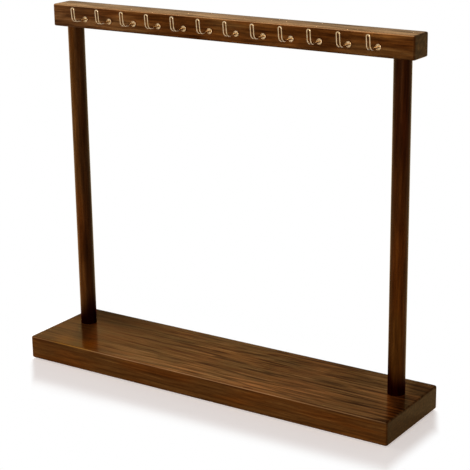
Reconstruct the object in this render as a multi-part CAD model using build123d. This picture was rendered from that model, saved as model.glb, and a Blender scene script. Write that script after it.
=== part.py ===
from build123d import *
from math import cos, radians, sin
import os

# Necklace holder, in millimetres.
# X runs along the bar, Y runs to the back, Z is up, and Z = 0 is the surface it stands on.
# Y = 0 is the middle of the base board's depth.

# Top bar
bar_length = 386.0
bar_height = 21.0
bar_wall = 5.0
bar_edge_radius = 1.4

# Posts
post_diameter = 16.0
post_end_wall = 9.0
post_setback = 14.0
hanging_height = 304.5
post_edge_chamfer = 0.6

# Base board
base_overhang = 7.0
base_depth = 98.0
base_height = 22.5
base_edge_radius = 1.7
corner_extra = 1.0

# Sockets that take the posts' ends
base_socket_depth = 6.0
bar_socket_depth = 5.0
socket_clearance = 0.1

# Foot pads
pad_diameter = 12.0
pad_thickness = 2.2
pad_recess_depth = 1.2
pad_inset = 10.0
pad_edge_chamfer = 0.3

# Bolts from below, and the threaded inserts that they screw into
bolt_diameter = 5.0
bolt_hole_clearance = 0.3
bolt_tip_gap = 2.0
bolt_tip_chamfer = 0.5
insert_wall = 1.5
post_insert_length = 13.0
insert_bore_spare = 4.0
thread_clearance = 0.05
head_rim = 2.2
head_height = 2.8
head_fillet = 0.9
head_recess = 1.8
hex_socket_width = 3.0
hex_socket_depth = 1.6
washer_rim = 3.5
washer_thickness = 1.0
counterbore_clearance = 1.0

# Double-ended screws that join the posts to the bar
hanger_wood_length = 22.0
hanger_hole_spare = 1.0
bar_top_wall = 6.0

# Hook wire, bent double into a narrow loop
hook_count = 12
hook_to_post = 11.8
hook_row_shift = 3.9
hook_rise = 9.2
hook_reach = 19.2
hook_height = 13.5
hook_lean = 6.0
hook_bend_radius = 4.6
wire_diameter = 1.0
wire_spacing = 3.1

# Collar and screw shank that hold each hook's wire
collar_rim = 0.5
collar_thickness = 2.2
collar_fillet = 0.22
collar_dish_depth = 0.7
collar_dish_clearance = 0.1
leg_depth = 1.1
leg_clearance = 0.03
shank_diameter = 2.6
shank_clearance = 0.05
shank_point_length = 3.0
shank_point_diameter = 0.6
shank_hole_spare = 1.0
hook_back_wall = 10.0

# Heights and places worked out from the sizes above
base_bottom = pad_thickness - pad_recess_depth
base_top = base_bottom + base_height
bar_bottom = base_top + hanging_height
bar_top = bar_bottom + bar_height
base_length = bar_length + 2 * base_overhang
bar_depth = post_diameter + 2 * bar_wall
bar_front = post_setback - bar_depth / 2
post_x = bar_length / 2 - post_end_wall - post_diameter / 2
post_bottom = base_top - base_socket_depth
post_top = bar_bottom + bar_socket_depth
socket_radius = post_diameter / 2 + socket_clearance

insert_diameter = bolt_diameter + 2 * insert_wall
insert_bore = bolt_diameter + 2 * thread_clearance
bar_insert_length = bar_height - bar_socket_depth - bar_top_wall
head_diameter = bolt_diameter + 2 * head_rim
washer_diameter = bolt_diameter + 2 * washer_rim
bolt_hole_diameter = bolt_diameter + 2 * bolt_hole_clearance
counterbore_diameter = washer_diameter + 2 * counterbore_clearance
counterbore_depth = head_recess + head_height + washer_thickness
washer_bottom = base_bottom + head_recess + head_height
washer_top = base_bottom + counterbore_depth

hook_z = bar_bottom + hook_rise
hook_margin = post_end_wall + post_diameter + hook_to_post
hook_pitch = (bar_length - 2 * hook_margin) / (hook_count - 1)
collar_dish = wire_spacing + wire_diameter + 2 * collar_dish_clearance
collar_diameter = collar_dish + 2 * collar_rim
collar_front = bar_front - collar_thickness
dish_floor = collar_front + collar_dish_depth
shank_length = bar_depth - hook_back_wall - shank_hole_spare

SIDES = {"left": -1, "right": 1}
ENDS = {"front": -1, "rear": 1}


def rod(diameter, bottom, top, x=0.0, y=0.0):
    """An upright cylinder from one height to another."""
    return Pos(x, y, bottom) * Cylinder(diameter / 2, top - bottom, align=(Align.CENTER, Align.CENTER, Align.MIN))


def tube(outer, inner, bottom, top, x=0.0, y=0.0):
    """An upright ring with a straight hole."""
    return rod(outer, bottom, top, x, y) - rod(inner, bottom, top, x, y)


def lying_rod(diameter, front, back, x=0.0, z=0.0):
    """A cylinder that runs from front to back."""
    plane = Plane(origin=(x, front, z), z_dir=(0, 1, 0))
    return plane * Cylinder(diameter / 2, back - front, align=(Align.CENTER, Align.CENTER, Align.MIN))


def eased_board(length, depth, height, corner_radius, edge_radius):
    """A rectangular board with softened corners and edges, standing on Z = 0."""
    board = Box(length, depth, height, align=(Align.CENTER, Align.CENTER, Align.MIN))
    board = fillet(board.edges().filter_by(Axis.Z), corner_radius)
    flat_edges = board.faces().filter_by(Axis.Z).edges()
    return fillet(flat_edges, edge_radius)


def pad_places():
    """Each foot pad's name with the X and Y of its centre."""
    for end, back in ENDS.items():
        for side, out in SIDES.items():
            x = out * (base_length / 2 - pad_inset)
            y = back * (base_depth / 2 - pad_inset)
            yield f"{end}_{side}", x, y


def base_board():
    """The base board, with sockets for the posts, bolt holes and recesses for the pads."""
    corner_radius = base_edge_radius + corner_extra
    board = Pos(0, 0, base_bottom) * eased_board(
        base_length, base_depth, base_height, corner_radius, base_edge_radius
    )
    for out in SIDES.values():
        x = out * post_x
        board -= rod(2 * socket_radius, post_bottom, base_top, x, post_setback)
        board -= rod(bolt_hole_diameter, washer_top, post_bottom, x, post_setback)
        board -= rod(counterbore_diameter, base_bottom, washer_top, x, post_setback)
    for _, x, y in pad_places():
        recess_diameter = pad_diameter + 2 * socket_clearance
        board -= rod(recess_diameter, base_bottom, base_bottom + pad_recess_depth, x, y)
    return board


def foot_pad(x, y):
    """A round anti-slip pad, stuck in its recess under the base."""
    pad = rod(pad_diameter, 0, pad_thickness, x, y)
    return chamfer(pad.faces().sort_by(Axis.Z)[0].edges(), pad_edge_chamfer)


def post(x):
    """A round post, with a bore for the insert below and one for the screw above."""
    dowel = rod(post_diameter, post_bottom, post_top, x, post_setback)
    dowel = chamfer(dowel.edges().filter_by(GeomType.CIRCLE), post_edge_chamfer)
    insert_hole = insert_diameter + 2 * thread_clearance
    insert_hole_top = post_bottom + post_insert_length + insert_bore_spare
    dowel -= rod(insert_hole, post_bottom, insert_hole_top, x, post_setback)
    screw_hole = bolt_diameter + 2 * thread_clearance
    screw_hole_bottom = post_top - hanger_wood_length - hanger_hole_spare
    return dowel - rod(screw_hole, screw_hole_bottom, post_top, x, post_setback)


def post_insert(x):
    """The threaded insert in a post's foot."""
    return tube(insert_diameter, insert_bore, post_bottom, post_bottom + post_insert_length, x, post_setback)


def base_bolt(x):
    """The button-head bolt that pulls a post down into the base."""
    head_bottom = washer_bottom - head_height
    head = rod(head_diameter, head_bottom, washer_bottom, x, post_setback)
    head = fillet(head.faces().sort_by(Axis.Z)[0].edges(), head_fillet)
    bolt_tip = post_bottom + post_insert_length - bolt_tip_gap
    shank = rod(bolt_diameter, washer_bottom, bolt_tip, x, post_setback)
    shank = chamfer(shank.faces().sort_by(Axis.Z)[-1].edges(), bolt_tip_chamfer)
    hexagon = RegularPolygon(hex_socket_width / 2, 6, major_radius=False)
    socket = Pos(x, post_setback, head_bottom) * extrude(hexagon, hex_socket_depth)
    return head + shank - socket


def base_washer(x):
    """The flat washer between a bolt's head and the base."""
    return tube(washer_diameter, bolt_hole_diameter, washer_bottom, washer_top, x, post_setback)


def top_bar():
    """The top bar, with sockets for the posts and pilot holes for the hooks."""
    bar = Pos(0, post_setback, bar_bottom) * eased_board(
        bar_length, bar_depth, bar_height, bar_edge_radius + corner_extra, bar_edge_radius
    )
    insert_hole = insert_diameter + 2 * thread_clearance
    for out in SIDES.values():
        x = out * post_x
        bar -= rod(2 * socket_radius, bar_bottom, post_top, x, post_setback)
        bar -= rod(insert_hole, post_top, post_top + bar_insert_length, x, post_setback)
    for x in hook_places():
        hole_back = bar_front + shank_length + shank_hole_spare
        bar -= lying_rod(shank_diameter + 2 * shank_clearance, bar_front, hole_back, x, hook_z)
    return bar


def bar_insert(x):
    """The threaded insert in the bar, above a post."""
    return tube(insert_diameter, insert_bore, post_top, post_top + bar_insert_length, x, post_setback)


def hanger_screw(x):
    """The double-ended screw, half in the post and half in the bar's insert."""
    screw = rod(bolt_diameter, post_top - hanger_wood_length, post_top + bar_insert_length, x, post_setback)
    return chamfer(screw.edges().filter_by(GeomType.CIRCLE), bolt_tip_chamfer)


def hook_places():
    """The X of each hook, from left to right."""
    for number in range(hook_count):
        yield hook_row_shift + (number - (hook_count - 1) / 2) * hook_pitch


def hook_wire(x):
    """One length of wire, from the collar out, up, over and back again."""
    lean = radians(hook_lean)
    half = wire_spacing / 2
    bend_y = bar_front - hook_reach + hook_bend_radius
    bend_z = hook_z + hook_bend_radius
    turn = (radians(90) - lean) / 2
    loop_z = hook_z + hook_height - wire_diameter / 2 * cos(lean) - half * cos(lean)
    bend_end_y = bend_y - hook_bend_radius * cos(lean)
    bend_end_z = bend_z - hook_bend_radius * sin(lean)
    loop_y = bend_end_y - (loop_z - bend_end_z) * sin(lean) / cos(lean)

    def leg(side):
        root = (x + side * half, dish_floor + leg_depth, hook_z)
        bend_start = (x + side * half, bend_y, hook_z)
        bend_middle_y = bend_y - hook_bend_radius * sin(turn)
        bend_middle_z = bend_z - hook_bend_radius * cos(turn)
        bend_middle = (x + side * half, bend_middle_y, bend_middle_z)
        bend_end = (x + side * half, bend_end_y, bend_end_z)
        loop_start = (x + side * half, loop_y, loop_z)
        return root, bend_start, bend_middle, bend_end, loop_start

    out = leg(-1)
    back = leg(1)
    loop_top = (x, loop_y - half * sin(lean), loop_z + half * cos(lean))
    path = Wire([
        Line(out[0], out[1]),
        ThreePointArc(out[1], out[2], out[3]),
        Line(out[3], out[4]),
        ThreePointArc(out[4], loop_top, back[4]),
        Line(back[4], back[3]),
        ThreePointArc(back[3], back[2], back[1]),
        Line(back[1], back[0]),
    ])
    section = Plane(origin=out[0], z_dir=(0, -1, 0)) * Circle(wire_diameter / 2)
    return sweep(section, path=path)


def hook_stud(x):
    """The dished collar that takes the wire's ends, with its screw shank in the bar."""
    collar = lying_rod(collar_diameter, collar_front, bar_front, x, hook_z)
    collar -= lying_rod(collar_dish, collar_front, dish_floor, x, hook_z)
    collar = fillet(collar.faces().sort_by(Axis.Y)[0].edges(), collar_fillet)
    for side in SIDES.values():
        leg_x = x + side * wire_spacing / 2
        leg_hole = wire_diameter + 2 * leg_clearance
        collar -= lying_rod(leg_hole, dish_floor, dish_floor + leg_depth, leg_x, hook_z)
    straight_end = bar_front + shank_length - shank_point_length
    shank = lying_rod(shank_diameter, bar_front, straight_end, x, hook_z)
    point = Plane(origin=(x, straight_end, hook_z), z_dir=(0, 1, 0)) * Cone(
        shank_diameter / 2, shank_point_diameter / 2, shank_point_length,
        align=(Align.CENTER, Align.CENTER, Align.MIN),
    )
    return collar + shank + point


def pieces():
    """Every piece, as a name and its solid."""
    yield "base_board", base_board()
    for place, x, y in pad_places():
        yield f"foot_pad_{place}", foot_pad(x, y)
    for side, out in SIDES.items():
        x = out * post_x
        yield f"post_{side}", post(x)
        yield f"post_insert_{side}", post_insert(x)
        yield f"base_bolt_{side}", base_bolt(x)
        yield f"base_washer_{side}", base_washer(x)
        yield f"hanger_screw_{side}", hanger_screw(x)
        yield f"bar_insert_{side}", bar_insert(x)
    yield "top_bar", top_bar()
    for number, x in enumerate(hook_places(), start=1):
        yield f"hook_{number:02d}", hook_wire(x)
        yield f"hook_stud_{number:02d}", hook_stud(x)


os.makedirs("parts", exist_ok=True)
for name, solid in pieces():
    export_step(solid, f"parts/{name}.step")
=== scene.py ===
from math import cos, radians, sin
from typing import NamedTuple

import bpy
from mathutils import Matrix, Vector

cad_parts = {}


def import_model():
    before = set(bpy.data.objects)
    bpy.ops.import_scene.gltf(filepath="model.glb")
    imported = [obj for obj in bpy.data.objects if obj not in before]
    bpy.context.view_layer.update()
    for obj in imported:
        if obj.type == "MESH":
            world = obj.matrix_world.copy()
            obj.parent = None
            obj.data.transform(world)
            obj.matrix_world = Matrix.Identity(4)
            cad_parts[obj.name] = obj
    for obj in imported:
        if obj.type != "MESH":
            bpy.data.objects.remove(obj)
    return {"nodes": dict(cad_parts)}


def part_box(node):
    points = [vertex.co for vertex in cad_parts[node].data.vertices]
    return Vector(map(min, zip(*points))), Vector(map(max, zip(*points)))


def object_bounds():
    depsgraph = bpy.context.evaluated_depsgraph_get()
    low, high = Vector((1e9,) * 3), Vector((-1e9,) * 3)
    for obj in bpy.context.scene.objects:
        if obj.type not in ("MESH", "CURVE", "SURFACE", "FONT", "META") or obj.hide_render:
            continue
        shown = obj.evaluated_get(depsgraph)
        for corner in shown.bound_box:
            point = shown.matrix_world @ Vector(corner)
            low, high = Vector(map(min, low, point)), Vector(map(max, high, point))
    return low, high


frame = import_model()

cad_low, cad_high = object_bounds()
MM = 0.001

# Camera, as fitted to the photograph's edges: angles in degrees, distance in metres, lens in millimetres
CAMERA_AZIMUTH = 33.49
CAMERA_ELEVATION = 17.06
CAMERA_ROLL = -0.76
CAMERA_DISTANCE = 1.373
CAMERA_LENS = 113.8
CAMERA_SENSOR = 36.0
CAMERA_TARGET = Vector((0.01377, 0.0, 0.14983))

# Wood colours, from the darkest streaks to the palest, then end grain and worn edges, the worn edges partly
# a painted highlight
WOOD_DARK = (0.0200, 0.0048, 0.0009, 1)
WOOD_DEEP = (0.0520, 0.0150, 0.0024, 1)
WOOD_MID = (0.0970, 0.0315, 0.0058, 1)
WOOD_PALE = (0.2000, 0.0800, 0.0180, 1)
WOOD_STOPS = [(0.0, WOOD_DARK), (0.26, WOOD_DEEP), (0.56, WOOD_MID), (1.0, WOOD_PALE)]
WOOD_END = (0.0310, 0.0185, 0.0085, 1)
WOOD_WORN_HIGHLIGHT = (0.3100, 0.1850, 0.0850, 1)

# Tints that drift over the wood
TINT_WARM = (1.10, 0.97, 0.80, 1)
TINT_COOL = (0.92, 1.03, 1.22, 1)

# Tones that multiply the colour of the wood's body, of its varnish's sheen, or of both
PLAIN_TONE = (1.0, 1.0, 1.0, 1)
BASE_FRONT_TONE = (1.12, 1.12, 1.05, 1)
TOP_BODY_TONE = (1.24, 1.03, 0.90, 1)
TOP_SHEEN_TONE = (0.84, 1.10, 1.16, 1)
# Painted highlight spot in front of the left post, over the body and the sheen
HIGHLIGHT_SPOT_BODY_TONE = (1.70, 1.50, 0.50, 1)
HIGHLIGHT_SPOT_SHEEN_TONE = (1.15, 1.25, 1.20, 1)
# Painted reflection toward the left end of the bar's front
BAR_LEFT_REFLECTION_TONE = (1.45, 1.55, 2.10, 1)
BAR_BACK_TONE = (0.84, 0.94, 1.32, 1)
BAR_FRONT_TONE = (1.20, 1.23, 1.50, 1)
# Painted highlight along the bar's upper front rim
BAR_RIM_HIGHLIGHT_TONE = (2.60, 2.45, 2.40, 1)
LEFT_POST_TONE = (0.40, 0.33, 0.32, 1)
# Painted light on the left post's front left side
LEFT_POST_LIT_SIDE_TONE = (2.40, 2.60, 2.00, 1)
RIGHT_POST_TONE = (0.46, 0.29, 0.16, 1)
RIGHT_POST_LOW_TONE = (1.45, 1.80, 1.60, 1)
RIGHT_POST_HIGH_TONE = (0.66, 0.56, 0.60, 1)
# Painted shade at the posts' feet
POST_FOOT_SHADE_TONE = (0.18, 0.03, 0.08, 1)

# The other materials' colours
GOLD = (0.640, 0.470, 0.285, 1)
GOLD_SHADE = (0.490, 0.325, 0.145, 1)
BRASS = (0.600, 0.420, 0.170, 1)
STEEL = (0.560, 0.560, 0.550, 1)
STEEL_SHADE = (0.420, 0.420, 0.420, 1)
RUBBER = (0.022, 0.022, 0.022, 1)
RUBBER_DUST = (0.050, 0.050, 0.048, 1)
WHITE = (1.0, 1.0, 1.0, 1)


class Axes(NamedTuple):
    """A vector's three parts."""
    x: object
    y: object
    z: object


class Sides(NamedTuple):
    """How far the surface point is from each side of a piece's box."""
    left: object
    front: object
    bottom: object
    right: object
    back: object
    top: object


class Grain(NamedTuple):
    """How fine a wood's streaks and lines are, per metre, how strong its rings are,
    and how strong its contrast is on upright faces."""
    along: float
    across: float
    down: float
    lines_across: float
    rings: float
    upright_contrast: float


class Varnish(NamedTuple):
    """A varnish's tint, its index of refraction, how much of its shine is lost, and its roughness."""
    tint: tuple
    index: float
    shine_lost: float
    roughness: float


class TonesAndPaintedLight(NamedTuple):
    """The tones over a piece's body and its varnish's sheen, painted light and shade among them, and what
    multiplies its grain's contrast.
    """
    body: object
    sheen: object
    contrast: object


class Layers(NamedTuple):
    """The layers of a wood's grain."""
    streaks: object
    lines: object
    rings: object
    fibres: object
    patches: object
    drift: object
    pores: object


BOARD_GRAIN = Grain(
    along=15.0, across=380.0, down=300.0, lines_across=250.0, rings=0.20, upright_contrast=0.70)
BAR_GRAIN = Grain(
    along=20.0, across=150.0, down=230.0, lines_across=240.0, rings=0.14, upright_contrast=1.30)
POST_GRAIN = Grain(
    along=20.0, across=260.0, down=260.0, lines_across=416.0, rings=0.14, upright_contrast=0.80)
BOARD_VARNISH = Varnish(tint=(1.0, 0.60, 0.24, 1), index=1.14, shine_lost=0.0, roughness=0.23)
POST_VARNISH = Varnish(tint=(1.0, 0.71, 0.35, 1), index=1.24, shine_lost=0.009, roughness=0.36)


class Graph:
    """A material's nodes, with one short call that adds a node, sets it and wires it."""

    def __init__(self, name):
        self.material = bpy.data.materials.new(name)
        self.material.use_nodes = True
        self.tree = self.material.node_tree
        self.tree.nodes.clear()

    def add(self, kind, inputs=None, out=0, **settings):
        """Add a node, give its inputs values or links, and return one of its outputs."""
        node = self.tree.nodes.new("ShaderNode" + kind)
        for key, value in settings.items():
            setattr(node, key, value)
        for key, value in (inputs or {}).items():
            if isinstance(value, bpy.types.NodeSocket):
                self.tree.links.new(value, node.inputs[key])
            else:
                node.inputs[key].default_value = value
        return node.outputs[out]

    def math(self, operation, a, b=0.0, c=0.0, clamp=False):
        return self.add("Math", {0: a, 1: b, 2: c}, operation=operation, use_clamp=clamp)

    def vector(self, operation, a, b=(0, 0, 0), out=0):
        return self.add("VectorMath", {0: a, 1: b}, out=out, operation=operation)

    def point(self):
        """The surface point, in metres."""
        return self.add("TexCoord", out="Object")

    def split(self, vector):
        """A vector's three parts."""
        return Axes(*self.add("SeparateXYZ", {0: vector}).node.outputs)

    def noise(self, vector, scale=1.0, detail=2.0, roughness=0.5, out=0):
        inputs = {"Vector": vector, "Scale": scale, "Detail": detail, "Roughness": roughness}
        return self.add("TexNoise", inputs, out=out)

    def stretched_noise(self, point, fineness, detail, roughness=0.5, out=0):
        """Noise with its own fineness along each axis, per metre."""
        stretched = self.vector("MULTIPLY", point, fineness)
        return self.noise(stretched, detail=detail, roughness=roughness, out=out)

    def band(self, value, low, high, to_low=0.0, to_high=1.0):
        """Map one range of a value smoothly to another."""
        inputs = {"Value": value, "From Min": low, "From Max": high, "To Min": to_low, "To Max": to_high}
        return self.add("MapRange", inputs, interpolation_type="SMOOTHSTEP")

    def fade(self, value, low, high):
        """One below a range of a value, falling smoothly to zero above it."""
        return self.band(value, low, high, 1.0, 0.0)

    def mix(self, factor, a, b, blend="MIX"):
        return self.add("MixRGB", {"Fac": factor, "Color1": a, "Color2": b}, blend_type=blend)

    def tint(self, colour, tone):
        """One colour multiplied by another."""
        return self.mix(1.0, colour, tone, blend="MULTIPLY")

    def ramp(self, value, stops):
        """A colour ramp from a list of places and colours."""
        socket = self.add("ValToRGB", {"Fac": value})
        elements = socket.node.color_ramp.elements
        while len(elements) < len(stops):
            elements.new(0.5)
        for element, (place, colour) in zip(elements, stops):
            element.position = place
            element.color = colour
        return socket

    def finish(self, shader):
        output = self.tree.nodes.new("ShaderNodeOutputMaterial")
        self.tree.links.new(shader, output.inputs["Surface"])
        return self.material


def middle(node_name):
    """The middle of a piece's box."""
    low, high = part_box(node_name)
    return (low + high) / 2


def sides(graph, node_name):
    """How far the surface point is from each side of a piece's box."""
    low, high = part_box(node_name)
    point = graph.point()
    above_low = graph.split(graph.vector("SUBTRACT", point, low))
    below_high = graph.split(graph.vector("SUBTRACT", high, point))
    return Sides(*above_low, *below_high)


# Growth rings: how far apart they are, and the parts of each over which it darkens and turns pale again
RING_SPACING = 3.4 * MM
RING_DARKENS = (0.15, 0.90)
RING_ENDS = (0.90, 1.0)

# How far the rings wander and ripple across the grain, and how finely they do so, per metre
WANDER = 22 * MM
WANDER_FINENESS = (4.0, 26.0, 26.0)
RIPPLE = 3.2 * MM
RIPPLE_FINENESS = (26.0, 260.0, 260.0)


def grain_point(graph, along, seed):
    """The surface point, turned to lie along the grain and moved to this piece's own part of the log."""
    parts = graph.split(graph.point())
    turned = graph.add("CombineXYZ", {step: parts[(along + step) % 3] for step in range(3)})
    return graph.vector("ADD", turned, seed)


def sway(graph, point, fineness, detail, reach):
    """A random shift across the grain, within a reach."""
    noise = graph.stretched_noise(point, fineness, detail, out="Color")
    return graph.vector("MULTIPLY", graph.vector("SUBTRACT", noise, (0.5, 0.5, 0.5)), (0, reach, reach))


def growth_rings(graph, point, heart):
    """Growth rings around a heart that lies outside the board, wandering along it and uneven in width."""
    wander = sway(graph, point, WANDER_FINENESS, detail=3.0, reach=WANDER)
    ripple = sway(graph, point, RIPPLE_FINENESS, detail=2.0, reach=RIPPLE)
    moved = graph.vector("ADD", graph.vector("ADD", point, wander), ripple)
    across = graph.vector("MULTIPLY", graph.vector("SUBTRACT", moved, heart), (0, 1, 1))
    radius = graph.vector("LENGTH", across, out="Value")
    phase = graph.math("FRACT", graph.math("DIVIDE", radius, RING_SPACING))
    return graph.math("MULTIPLY", graph.band(phase, *RING_DARKENS), graph.fade(phase, *RING_ENDS))


# A board's edges: how wide the worn one, partly a painted highlight, and the dark ones, painted shade, are
WORN_HIGHLIGHT_EDGE = (0.4 * MM, 1.1 * MM)
EDGE_SHADE = (0.4 * MM, 1.8 * MM)

# Where patches of the grain spare the worn edge and its painted highlight, and how worn it is there at least
WORN_HIGHLIGHT_PATCHES = (0.38, 0.62)
WORN_HIGHLIGHT_LEAST = 0.60


def edge_lines(graph, node_name, uneven):
    """A board's worn upper front edge, partly a painted highlight, and painted shade along its corners,
    lower edges and upper back edge.
    """
    to = sides(graph, node_name)
    to_end = graph.math("MINIMUM", to.left, to.right)
    to_face = graph.math("MINIMUM", to.front, to.back)
    upper_front = graph.math("MAXIMUM", to.front, to.top)
    upper_back = graph.math("MAXIMUM", to.back, to.top)
    corner = graph.math("MAXIMUM", to_end, to_face)
    lower = graph.math("MAXIMUM", graph.math("MINIMUM", to_end, to_face), to.bottom)
    nearest = graph.math("MINIMUM", graph.math("MINIMUM", corner, lower), upper_back)
    # The worn edge is partly a painted highlight; the dark edges are painted shade
    wear_and_highlight = graph.band(uneven, *WORN_HIGHLIGHT_PATCHES, WORN_HIGHLIGHT_LEAST, 1.0)
    worn_highlight = graph.math("MULTIPLY", graph.fade(upper_front, *WORN_HIGHLIGHT_EDGE), wear_and_highlight)
    return worn_highlight, graph.fade(nearest, *EDGE_SHADE)


# How far below a board's top face the tone of its top ends
TOP_FACE = (0.3 * MM, 1.2 * MM)

# The painted shadow at the right end of the base board's top, how much it widens toward the back, and what
# light it keeps
RIGHT_END_SHADOW = (-1.8 * MM, 8.2 * MM)
RIGHT_SHADOW_WIDENS = 0.2
RIGHT_SHADOW_KEPT = 0.60

# The painted shade along the back of the base board's top: how far it reaches from the back and each end,
# and what it loses
BACK_SHADE_DEPTH = (14 * MM, 54 * MM)
BACK_SHADE_FROM_LEFT = (30 * MM, 150 * MM)
BACK_SHADE_LEFT_LOST = 0.60
BACK_SHADE_FROM_RIGHT = (130 * MM, 180 * MM)
BACK_SHADE_RIGHT_LOST = 0.18

# The painted highlight along the front middle of the base board's top
HIGHLIGHT_FROM_ENDS = (50 * MM, 140 * MM)
HIGHLIGHT_FROM_FRONT = (8 * MM, 40 * MM)
HIGHLIGHT_GAIN = 0.55

# The painted highlight spot in front of the left post
HIGHLIGHT_SPOT_FROM_LEFT = 51 * MM
HIGHLIGHT_SPOT_HALF_WIDTH = (10 * MM, 36 * MM)
HIGHLIGHT_SPOT_FROM_FRONT = (8 * MM, 30 * MM)

# The calmer grain at the left of the base board's top
CALM_FROM_LEFT = (50 * MM, 180 * MM)
CALM_LOST = 0.55


def base_painted_shade_and_highlight(graph, to):
    """How bright the base board's top is: a painted highlight along its front middle, painted shade at its
    back and a painted shadow at its right end.
    """
    # Painted light on the top: a painted shadow at the right end, painted shade along the back, and a
    # painted highlight along the front middle
    right_end_shadow = graph.math("MULTIPLY_ADD", to.front, -RIGHT_SHADOW_WIDENS, to.right)
    right_end_shadow = graph.band(right_end_shadow, *RIGHT_END_SHADOW, RIGHT_SHADOW_KEPT, 1.0)
    back_right_shade = graph.math("MULTIPLY", graph.fade(to.right, *BACK_SHADE_FROM_RIGHT), BACK_SHADE_RIGHT_LOST)
    back = graph.math("MULTIPLY_ADD", graph.fade(to.left, *BACK_SHADE_FROM_LEFT), BACK_SHADE_LEFT_LOST, back_right_shade)
    back = graph.math("MULTIPLY", back, graph.fade(to.back, *BACK_SHADE_DEPTH))
    front = graph.band(graph.math("MINIMUM", to.left, to.right), *HIGHLIGHT_FROM_ENDS)
    front = graph.math("MULTIPLY", front, graph.fade(to.front, *HIGHLIGHT_FROM_FRONT))
    front = graph.math("MULTIPLY_ADD", front, HIGHLIGHT_GAIN, 1.0)
    painted_shade = graph.math("MULTIPLY", right_end_shadow, graph.math("SUBTRACT", 1.0, back))
    return graph.math("MULTIPLY", front, painted_shade)


def base_tones_and_painted_light(graph):
    """The base board's tones: a redder top with painted shade and highlights, a painted highlight spot and
    calmer grain at its left.
    """
    to = sides(graph, "base_board")
    top = graph.fade(to.top, *TOP_FACE)
    shade = base_painted_shade_and_highlight(graph, to)
    # The spot is a painted highlight in front of the left post
    from_highlight_spot = graph.math("ABSOLUTE", graph.math("SUBTRACT", to.left, HIGHLIGHT_SPOT_FROM_LEFT))
    highlight_spot = graph.math("MULTIPLY", top, graph.fade(from_highlight_spot, *HIGHLIGHT_SPOT_HALF_WIDTH))
    highlight_spot = graph.math("MULTIPLY", highlight_spot, graph.fade(to.front, *HIGHLIGHT_SPOT_FROM_FRONT))
    body = graph.mix(top, BASE_FRONT_TONE, graph.tint(shade, TOP_BODY_TONE))
    body = graph.tint(body, graph.mix(highlight_spot, PLAIN_TONE, HIGHLIGHT_SPOT_BODY_TONE))
    sheen = graph.mix(top, PLAIN_TONE, graph.tint(shade, TOP_SHEEN_TONE))
    sheen = graph.tint(sheen, graph.mix(highlight_spot, PLAIN_TONE, HIGHLIGHT_SPOT_SHEEN_TONE))
    calm = graph.band(to.left, *CALM_FROM_LEFT, -CALM_LOST, 0.0)
    return TonesAndPaintedLight(body, sheen, graph.math("MULTIPLY_ADD", top, calm, 1.0))


# How far the bar's tones reach: its painted reflection from its left end and behind its front face, back on
# its top, and its painted highlight around its rim
BAR_REFLECTION_FROM_LEFT = (10 * MM, 130 * MM)
BAR_FACE = (0.3 * MM, 1.2 * MM)
BAR_TOP_FRONT = (5 * MM, 22 * MM)
BAR_RIM_HIGHLIGHT = (0.7 * MM, 1.4 * MM)


def bar_tones_and_painted_highlights(graph):
    """The bar's tones: a painted reflection paler to the left of its front, its top paler to the front, and
    a painted highlight along the rim between.
    """
    to = sides(graph, "top_bar")
    # A painted reflection toward the left of the front face, and a painted highlight along the rim
    left = graph.math("MULTIPLY", graph.fade(to.left, *BAR_REFLECTION_FROM_LEFT), graph.fade(to.front, *BAR_FACE))
    tone = graph.mix(left, PLAIN_TONE, BAR_LEFT_REFLECTION_TONE)
    top_tone = graph.mix(graph.fade(to.front, *BAR_TOP_FRONT), BAR_BACK_TONE, BAR_FRONT_TONE)
    tone = graph.mix(graph.fade(to.top, *TOP_FACE), tone, top_tone)
    from_rim_highlight = graph.math("MAXIMUM", to.front, to.top)
    tone = graph.mix(graph.fade(from_rim_highlight, *BAR_RIM_HIGHLIGHT), tone, BAR_RIM_HIGHLIGHT_TONE)
    return TonesAndPaintedLight(tone, tone, 1.0)


# A post's painted shade at its foot: its height above the base board, and how much higher it is toward the
# stand's middle
FOOT_SHADE_HEIGHT = (5 * MM, 30 * MM)
FOOT_SHADE_REACH = 1.7

# How far inward of a post's axis its painted foot shade starts to rise, and over what width it comes to its
# full height
LEFT_FOOT_SHADE_START = 2 * MM
RIGHT_FOOT_SHADE_START = -2 * MM
FOOT_SHADE_SIDE = 6 * MM

# The left post's painted lit side: the direction it faces, and where across the post it comes in
LIT_SIDE_FACES = (-0.6, -0.8, 0.0)
LIT_SIDE = (1.5 * MM, 7.0 * MM)

# Heights above the floor between which the right post turns from its low tone to its high one
RIGHT_POST_TURNS = (90 * MM, 300 * MM)


def post_tone_and_painted_shade(graph, node_name, tone, body, side_start):
    """A post's tone, with painted shade at its foot, reaching higher on the side toward the stand's middle.
    """
    base_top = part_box("base_board")[1].z
    place = graph.split(graph.point())
    inward = graph.math("SUBTRACT", abs(middle(node_name).x), graph.math("ABSOLUTE", place.x))
    # The foot is painted shade, reaching higher toward the stand's middle
    reach = graph.band(inward, side_start, side_start + FOOT_SHADE_SIDE, 1.0, FOOT_SHADE_REACH)
    height = graph.math("DIVIDE", graph.math("SUBTRACT", place.z, base_top), reach)
    foot_shade = graph.fade(height, *FOOT_SHADE_HEIGHT)
    body = graph.tint(graph.mix(foot_shade, body, POST_FOOT_SHADE_TONE), tone)
    return TonesAndPaintedLight(body, graph.mix(foot_shade, PLAIN_TONE, POST_FOOT_SHADE_TONE), 1.0)


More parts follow.
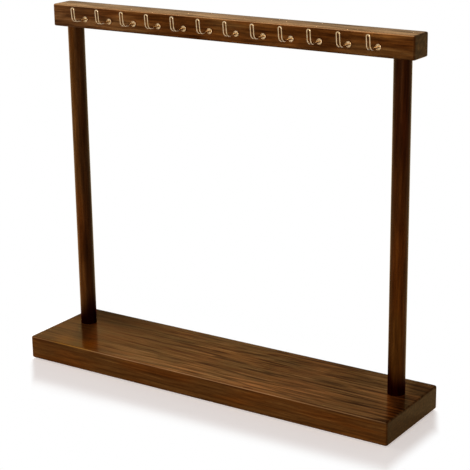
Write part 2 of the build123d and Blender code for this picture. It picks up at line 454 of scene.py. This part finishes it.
def left_post_tones_and_painted_light(graph):
    """The left post's tones, with painted light on its front left side and painted shade at its foot."""
    # The front left side is painted light
    from_axis = graph.vector("SUBTRACT", graph.point(), middle("post_left"))
    sideways = graph.vector("DOT_PRODUCT", from_axis, LIT_SIDE_FACES, out="Value")
    body = graph.mix(graph.band(sideways, *LIT_SIDE), PLAIN_TONE, LEFT_POST_LIT_SIDE_TONE)
    return post_tone_and_painted_shade(graph, "post_left", LEFT_POST_TONE, body, LEFT_FOOT_SHADE_START)


def right_post_tones_and_painted_shade(graph):
    """The right post's tones, paler low down and darker at the top, with painted shade at its foot."""
    height = graph.split(graph.point()).z
    body = graph.mix(graph.band(height, *RIGHT_POST_TURNS), RIGHT_POST_LOW_TONE, RIGHT_POST_HIGH_TONE)
    return post_tone_and_painted_shade(graph, "post_right", RIGHT_POST_TONE, body, RIGHT_FOOT_SHADE_START)


# The axis that the grain runs along: x in the boards, z in the posts
ALONG_BOARD = 0
ALONG_POST = 2

# How fine the other layers of the grain are, per metre, along the grain and both ways across it
FIBRE_FINENESS = (46.0, 2600.0, 2600.0)
PATCH_FINENESS = (18.0, 110.0, 110.0)
DRIFT_FINENESS = (12.0, 50.0, 90.0)
PORE_FINENESS = (170.0, 3400.0, 3400.0)

# How much finer the dark lines are than the streaks, along and down
LINES_ALONG = 1.3
LINES_DOWN = 3.0

# The noise values between which lines, pores and the cool tint come in
LINES_SHOW = (0.50, 0.64)
PORES_SHOW = (0.66, 0.76)
COOL_SHOWS = (0.36, 0.64)

# How level a face is where it counts as level, and how strong its lines stay where it is upright
LEVEL = (0.3, 0.8)
UPRIGHT_LINES = 0.40

# How squarely a face cuts the grain where it counts as an end face
END_FACE = (0.75, 0.95)

# What the layers add to the wood's lightness, and the lightness that a change of contrast leaves as it is
STREAK_LIGHT = 1.45
STREAK_OFFSET = -0.275
PATCH_LIGHT = 0.22
FIBRE_LIGHT = 0.30
LIGHT_LOST = 0.16
MIDDLE_LIGHT = 0.46

# How strongly lines, pores, end grain, the painted shade of edges and the worn edge with its painted
# highlight cover the colour below them
LINE_COVER = 0.72
PORE_COVER = 0.45
END_COVER = 0.88
END_STREAKS = 0.30
EDGE_SHADE_COVER = 0.80
WORN_HIGHLIGHT_COVER = 0.85

# The relief of the varnish over the grain, and how much smoother it is over streaks
STREAK_HEIGHT = 0.6
FIBRE_HEIGHT = 0.5
LINE_DEPTH = 0.4
PORE_DEPTH = 0.8
GRAIN_BUMP = 0.22
GRAIN_RELIEF = 0.06 * MM
STREAK_SMOOTHING = 0.16

# How strongly the varnish shines on dark wood, what light wood adds to that, and what lines take from it
SHINE_LEAST = 0.55
LIGHT_SHINE = 0.9
LINE_SHINE_LOST = 0.45


def grain_layers(graph, point, heart, grain, level, contrast):
    """All layers of a piece's grain, its dark lines fainter on upright faces."""
    line_fineness = (LINES_ALONG * grain.along, grain.lines_across, LINES_DOWN * grain.down)
    lines = graph.band(graph.stretched_noise(point, line_fineness, detail=2.0, roughness=0.6), *LINES_SHOW)
    lines = graph.math("MULTIPLY", lines, graph.band(level, *LEVEL, UPRIGHT_LINES, 1.0))
    streak_fineness = (grain.along, grain.across, grain.down)
    return Layers(
        streaks=graph.stretched_noise(point, streak_fineness, detail=4.0, roughness=0.58),
        lines=graph.math("MULTIPLY", lines, contrast),
        rings=growth_rings(graph, point, heart),
        fibres=graph.stretched_noise(point, FIBRE_FINENESS, detail=2.0),
        patches=graph.stretched_noise(point, PATCH_FINENESS, detail=3.0),
        drift=graph.stretched_noise(point, DRIFT_FINENESS, detail=2.0),
        pores=graph.band(graph.stretched_noise(point, PORE_FINENESS, detail=0.0), *PORES_SHOW),
    )


def grain_light(graph, layers, grain, level, contrast):
    """How light the wood is from place to place, with its own contrast on upright faces."""
    light = graph.math("MULTIPLY_ADD", layers.streaks, STREAK_LIGHT, STREAK_OFFSET)
    light = graph.math("MULTIPLY_ADD", layers.rings, -grain.rings, light)
    light = graph.math("MULTIPLY_ADD", layers.patches, PATCH_LIGHT, light)
    light = graph.math("MULTIPLY_ADD", layers.fibres, FIBRE_LIGHT, light)
    light = graph.math("SUBTRACT", light, LIGHT_LOST, clamp=True)
    contrast = graph.math("MULTIPLY", graph.band(level, *LEVEL, grain.upright_contrast, 1.0), contrast)
    return graph.math("MULTIPLY_ADD", graph.math("SUBTRACT", light, MIDDLE_LIGHT), contrast, MIDDLE_LIGHT)


def grain_colour(graph, layers, light, end_face, edges_of):
    """The wood's colour, with its lines, pores, drifting tint and end grain, and a board's worn edge, partly
    a painted highlight, and painted edge shade.
    """
    colour = graph.ramp(light, WOOD_STOPS)
    colour = graph.mix(graph.math("MULTIPLY", layers.lines, LINE_COVER), colour, WOOD_DARK)
    colour = graph.mix(graph.math("MULTIPLY", layers.pores, PORE_COVER), colour, WOOD_DARK)
    colour = graph.tint(colour, graph.mix(graph.band(layers.drift, *COOL_SHOWS), TINT_WARM, TINT_COOL))
    end_colour = graph.mix(graph.math("MULTIPLY", light, END_STREAKS), WOOD_END, colour)
    colour = graph.mix(graph.math("MULTIPLY", end_face, END_COVER), colour, end_colour)
    if edges_of:
        # Painted shade along the board's edges, and a worn edge that is partly a painted highlight
        worn_highlight, painted_shade = edge_lines(graph, edges_of, layers.patches)
        colour = graph.mix(graph.math("MULTIPLY", painted_shade, EDGE_SHADE_COVER), colour, WOOD_DARK)
        colour = graph.mix(graph.math("MULTIPLY", worn_highlight, WORN_HIGHLIGHT_COVER), colour, WOOD_WORN_HIGHLIGHT)
    return colour


def varnished(graph, layers, light, colour, sheen, varnish):
    """The wood's body under a varnish that follows its grain, and shines less on its dark lines."""
    height = graph.math("MULTIPLY", layers.fibres, FIBRE_HEIGHT)
    height = graph.math("MULTIPLY_ADD", layers.streaks, STREAK_HEIGHT, height)
    height = graph.math("MULTIPLY_ADD", layers.lines, -LINE_DEPTH, height)
    height = graph.math("MULTIPLY_ADD", layers.pores, -PORE_DEPTH, height)
    bump = graph.add("Bump", {"Height": height, "Strength": GRAIN_BUMP, "Distance": GRAIN_RELIEF})
    roughness = graph.math("MULTIPLY_ADD", layers.streaks, -STREAK_SMOOTHING, varnish.roughness)
    body = graph.add("BsdfPrincipled", {
        "Base Color": colour, "Roughness": roughness, "Normal": bump, "Specular IOR Level": 0.0,
    })
    coat_tint = graph.tint(sheen, varnish.tint)
    coat = graph.add("BsdfAnisotropic", {"Color": coat_tint, "Roughness": roughness, "Normal": bump})
    shine = graph.add("Fresnel", {"IOR": varnish.index, "Normal": bump})
    shine = graph.math("SUBTRACT", shine, varnish.shine_lost, clamp=True)
    strength = graph.math("MULTIPLY_ADD", light, LIGHT_SHINE, SHINE_LEAST)
    strength = graph.math("MULTIPLY_ADD", layers.lines, -LINE_SHINE_LOST, strength)
    return graph.add("MixShader", {0: graph.math("MULTIPLY", shine, strength), 1: body, 2: coat})


def wood(name, along, seed, heart, tones_and_painted_light, grain, varnish, edges_of=None):
    """Dark-dyed wood under a warm satin varnish, its grain along one axis, with its tones and painted light.
    """
    graph = Graph(name)
    tones_and_light = tones_and_painted_light(graph)
    normal = graph.split(graph.add("NewGeometry", out="Normal"))
    level = graph.math("ABSOLUTE", normal.z)
    end_face = graph.band(graph.math("ABSOLUTE", normal[along]), *END_FACE)
    point = grain_point(graph, along, seed)
    layers = grain_layers(graph, point, heart, grain, level, tones_and_light.contrast)
    light = grain_light(graph, layers, grain, level, tones_and_light.contrast)
    colour = graph.tint(grain_colour(graph, layers, light, end_face, edges_of), tones_and_light.body)
    return graph.finish(varnished(graph, layers, light, colour, tones_and_light.sheen, varnish))


# Gold plating: its clouds and drawing marks, per metre, the cloud values that shade it, and its surface
GOLD_CLOUDS = 420.0
GOLD_MARKS = (5200.0, 5200.0, 780.0)
GOLD_SHADES = (0.35, 0.70)
GOLD_ROUGHNESS = 0.09
CLOUD_ROUGHNESS = 0.12
GOLD_BUMP = 0.15
GOLD_RELIEF = 0.01 * MM

# Turned metal: its turning marks, per metre, the mark values that shade it, and its surface
TURNING_MARKS = (60.0, 60.0, 4200.0)
TURNING_SHADES = (0.3, 0.7)
BRASS_ROUGHNESS = 0.25
STEEL_ROUGHNESS = 0.28
TURNING_ROUGHNESS = 0.20
TURNING_BUMP = 0.25
TURNING_RELIEF = 0.02 * MM

# Rubber: its grit and dust, per metre, the dust values that show, and its surface
GRIT = 2600.0
DUST = 180.0
DUST_SHOWS = (0.5, 0.8)
RUBBER_ROUGHNESS = 0.65
GRIT_ROUGHNESS = 0.20
GRIT_BUMP = 0.5
GRIT_RELIEF = 0.05 * MM


def embossed(graph, colour, roughness, height, strength, relief, metallic):
    """A surface with a fine relief."""
    bump = graph.add("Bump", {"Height": height, "Strength": strength, "Distance": relief})
    return graph.finish(graph.add("BsdfPrincipled", {
        "Base Color": colour, "Roughness": roughness, "Normal": bump, "Metallic": metallic,
    }))


def gold():
    """Polished gold plating, a little uneven, with faint drawing marks."""
    graph = Graph("gold_metal")
    point = graph.point()
    cloud = graph.noise(point, scale=GOLD_CLOUDS, detail=3.0)
    marks = graph.stretched_noise(point, GOLD_MARKS, detail=1.0)
    colour = graph.mix(graph.band(cloud, *GOLD_SHADES), GOLD, GOLD_SHADE)
    roughness = graph.math("MULTIPLY_ADD", cloud, CLOUD_ROUGHNESS, GOLD_ROUGHNESS)
    return embossed(graph, colour, roughness, marks, GOLD_BUMP, GOLD_RELIEF, metallic=1.0)


def turned_metal(name, metal, shade, least_roughness):
    """Machined metal with fine turning marks across its axis."""
    graph = Graph(name)
    marks = graph.stretched_noise(graph.point(), TURNING_MARKS, detail=2.0)
    colour = graph.mix(graph.band(marks, *TURNING_SHADES), metal, shade)
    roughness = graph.math("MULTIPLY_ADD", marks, TURNING_ROUGHNESS, least_roughness)
    return embossed(graph, colour, roughness, marks, TURNING_BUMP, TURNING_RELIEF, metallic=1.0)


def rubber():
    """Matt black rubber with a fine moulded texture."""
    graph = Graph("rubber")
    point = graph.point()
    grit = graph.noise(point, scale=GRIT, detail=2.0)
    dust = graph.noise(point, scale=DUST, detail=3.0)
    colour = graph.mix(graph.band(dust, *DUST_SHOWS), RUBBER, RUBBER_DUST)
    roughness = graph.math("MULTIPLY_ADD", grit, GRIT_ROUGHNESS, RUBBER_ROUGHNESS)
    return embossed(graph, colour, roughness, grit, GRIT_BUMP, GRIT_RELIEF, metallic=0.0)


def dress(node_name, material):
    """Give a CAD node its finish."""
    slots = frame["nodes"][node_name].material_slots
    for material_slot in slots:
        material_slot.material = material


def dress_wood():
    """The base board, the bar and the posts, each cut from its own part of the log."""
    dress("base_board", wood(
        "wood_base", ALONG_BOARD, seed=(0.13, 0.02, 0.0), heart=(0, 0.034, -0.085),
        tones_and_painted_light=base_tones_and_painted_light, grain=BOARD_GRAIN, varnish=BOARD_VARNISH, edges_of="base_board"))
    dress("top_bar", wood(
        "wood_bar", ALONG_BOARD, seed=(1.31, 0.21, -0.2), heart=(0, 0.28, 0.07),
        tones_and_painted_light=bar_tones_and_painted_highlights, grain=BAR_GRAIN, varnish=BOARD_VARNISH, edges_of="top_bar"))
    dress("post_left", wood(
        "wood_post_left", ALONG_POST, seed=(2.37, 0.4, 0.1), heart=(0, 0.19, 0.16),
        tones_and_painted_light=left_post_tones_and_painted_light, grain=POST_GRAIN, varnish=POST_VARNISH))
    dress("post_right", wood(
        "wood_post_right", ALONG_POST, seed=(3.19, 0.7, 0.3), heart=(0, 0.92, 0.35),
        tones_and_painted_light=right_post_tones_and_painted_shade, grain=POST_GRAIN, varnish=POST_VARNISH))


def dress_fittings():
    """The hooks, inserts, bolts, washers, screws and foot pads."""
    gold_metal = gold()
    brass = turned_metal("brass_insert", BRASS, GOLD_SHADE, BRASS_ROUGHNESS)
    steel = turned_metal("steel", STEEL, STEEL_SHADE, STEEL_ROUGHNESS)
    pad = rubber()
    for node_name in frame["nodes"]:
        if node_name.startswith("hook_"):
            dress(node_name, gold_metal)
        elif "insert" in node_name:
            dress(node_name, brass)
        elif "bolt" in node_name or "washer" in node_name or "screw" in node_name:
            dress(node_name, steel)
        elif node_name.startswith("foot_pad"):
            dress(node_name, pad)


# Floor: half its width, in metres, its own colour, and the light that it adds to what is seen of it
FLOOR_HALF = 6.0
FLOOR_COLOUR = (0.85, 0.85, 0.85, 1)
FLOOR_LIFT = (0.442, 0.397, 0.379, 1)

# How far the shadow reaches, where the floor turns white, how the shadow's sides slant and its front narrows
SHADOW_REACH = 35 * MM
WHITE_FROM = 84 * MM
SIDE_BLUR = 5 * MM
LEFT_SLANT = 0.90
RIGHT_SLANT = 0.47
END_SLANT = 3.0
FRONT_SLANT = 1.38
FRONT_TAPER = 0.7

# How strongly the world lights the object
WORLD_LIGHT = 0.17


def seen_ray(graph):
    """One for rays that see the background, straight, in a reflection or through glass."""
    rays = graph.add("LightPath").node.outputs
    seen = graph.math("MAXIMUM", rays["Is Camera Ray"], rays["Is Glossy Ray"])
    return graph.math("MAXIMUM", seen, rays["Is Transmission Ray"])


def shadow_fade(graph):
    """Zero where the floor keeps the base board's shadow, rising to one around it."""
    place = graph.split(graph.point())
    to_left = graph.math("SUBTRACT", cad_low[0], place.x)
    to_right = graph.math("SUBTRACT", place.x, cad_high[0])
    to_front = graph.math("SUBTRACT", cad_low[1], place.y)
    to_back = graph.math("SUBTRACT", place.y, cad_high[1])
    past_left = graph.math("MULTIPLY_ADD", to_front, LEFT_SLANT, to_left)
    past_right = graph.math("MULTIPLY_ADD", to_back, RIGHT_SLANT, to_right)
    past_side = graph.band(graph.math("MAXIMUM", past_left, past_right), -SIDE_BLUR, SIDE_BLUR)
    behind = graph.band(to_back, 0.0, SHADOW_REACH)
    nearer = graph.math("MULTIPLY_ADD", place.x, FRONT_TAPER, FRONT_SLANT)
    out_front = graph.math("MULTIPLY", to_front, nearer)
    out_right = graph.math("MULTIPLY", to_right, END_SLANT)
    outside = graph.band(graph.math("MAXIMUM", out_front, out_right), SHADOW_REACH, WHITE_FROM)
    return graph.math("MAXIMUM", outside, graph.math("MAXIMUM", past_side, behind))


def floor():
    """A wide pale floor that is white to look at, but for the object's shadow, and clear from below."""
    mesh = bpy.data.meshes.new("floor")
    corners = [(-FLOOR_HALF, -FLOOR_HALF, 0), (FLOOR_HALF, -FLOOR_HALF, 0),
               (FLOOR_HALF, FLOOR_HALF, 0), (-FLOOR_HALF, FLOOR_HALF, 0)]
    mesh.from_pydata(corners, [], [(0, 1, 2, 3)])
    graph = Graph("floor")
    seen = seen_ray(graph)
    far = graph.math("MULTIPLY", shadow_fade(graph), seen)
    diffuse = graph.add("BsdfDiffuse", {"Color": FLOOR_COLOUR})
    lift = graph.add("Emission", {"Color": FLOOR_LIFT, "Strength": seen})
    near = graph.add("AddShader", {0: diffuse, 1: lift})
    white = graph.add("Emission", {"Color": WHITE, "Strength": 1.0})
    seen_floor = graph.add("MixShader", {0: far, 1: near, 2: white})
    from_below = graph.add("NewGeometry", out="Backfacing")
    clear = graph.add("BsdfTransparent")
    mesh.materials.append(graph.finish(graph.add("MixShader", {0: from_below, 1: seen_floor, 2: clear})))
    plane = bpy.data.objects.new("floor", mesh)
    bpy.context.scene.collection.objects.link(plane)


class WorldGraph(Graph):
    """The world's nodes, with the same calls as a material's."""

    def __init__(self, world):
        world.use_nodes = True
        self.tree = world.node_tree
        self.tree.nodes.clear()

    def finish(self, shader):
        output = self.tree.nodes.new("ShaderNodeOutputWorld")
        self.tree.links.new(shader, output.inputs["Surface"])


def world():
    """White to look at, with a soft even light for the object."""
    scene_world = bpy.data.worlds.new("studio")
    bpy.context.scene.world = scene_world
    graph = WorldGraph(scene_world)
    strength = graph.math("MULTIPLY_ADD", seen_ray(graph), 1.0 - WORLD_LIGHT, WORLD_LIGHT)
    graph.finish(graph.add("Background", {"Color": WHITE, "Strength": strength}))


def softbox(name, place, aim, width, height, watts, mirrored=True):
    """A rectangular lamp at a place, turned to a point."""
    lamp = bpy.data.lights.new(name, "AREA")
    lamp.shape = "RECTANGLE"
    lamp.size = width
    lamp.size_y = height
    lamp.energy = watts
    holder = bpy.data.objects.new(name, lamp)
    holder.location = place
    holder.rotation_euler = (Vector(aim) - Vector(place)).to_track_quat("-Z", "Y").to_euler()
    holder.visible_camera = False
    holder.visible_glossy = mirrored
    bpy.context.scene.collection.objects.link(holder)


def lamps():
    """A low lamp far behind for the shadow, a key from the left and a soft fill from the front."""
    softbox("back_light", place=(-1.73, 2.61, 1.00), aim=(0, 0, 0.01),
            width=1.20, height=0.90, watts=175.0, mirrored=False)
    softbox("key_light", place=(-1.66, -0.22, 0.24), aim=(0, 0, 0.19),
            width=0.8, height=0.4, watts=11.0, mirrored=False)
    softbox("fill_light", place=(0.51, -1.92, 0.50), aim=(0, 0, 0.15),
            width=1.2, height=0.8, watts=24.0)


def camera():
    """The photograph's camera."""
    turn = radians(CAMERA_AZIMUTH)
    rise = radians(CAMERA_ELEVATION)
    roll = radians(CAMERA_ROLL)
    back = Vector((sin(turn) * cos(rise), -cos(turn) * cos(rise), sin(rise)))
    level = Vector((cos(turn), sin(turn), 0))
    upright = back.cross(level)
    right = cos(roll) * level + sin(roll) * upright
    up = back.cross(right)
    lens = bpy.data.cameras.new("camera")
    lens.lens = CAMERA_LENS
    lens.sensor_width = CAMERA_SENSOR
    holder = bpy.data.objects.new("camera", lens)
    axes = Matrix((right, up, back)).transposed()
    holder.matrix_world = Matrix.Translation(CAMERA_TARGET + back * CAMERA_DISTANCE) @ axes.to_4x4()
    bpy.context.scene.collection.objects.link(holder)
    bpy.context.scene.camera = holder


camera()
dress_wood()
dress_fittings()
floor()
world()
lamps()
bpy.context.scene.view_settings.view_transform = "Standard"
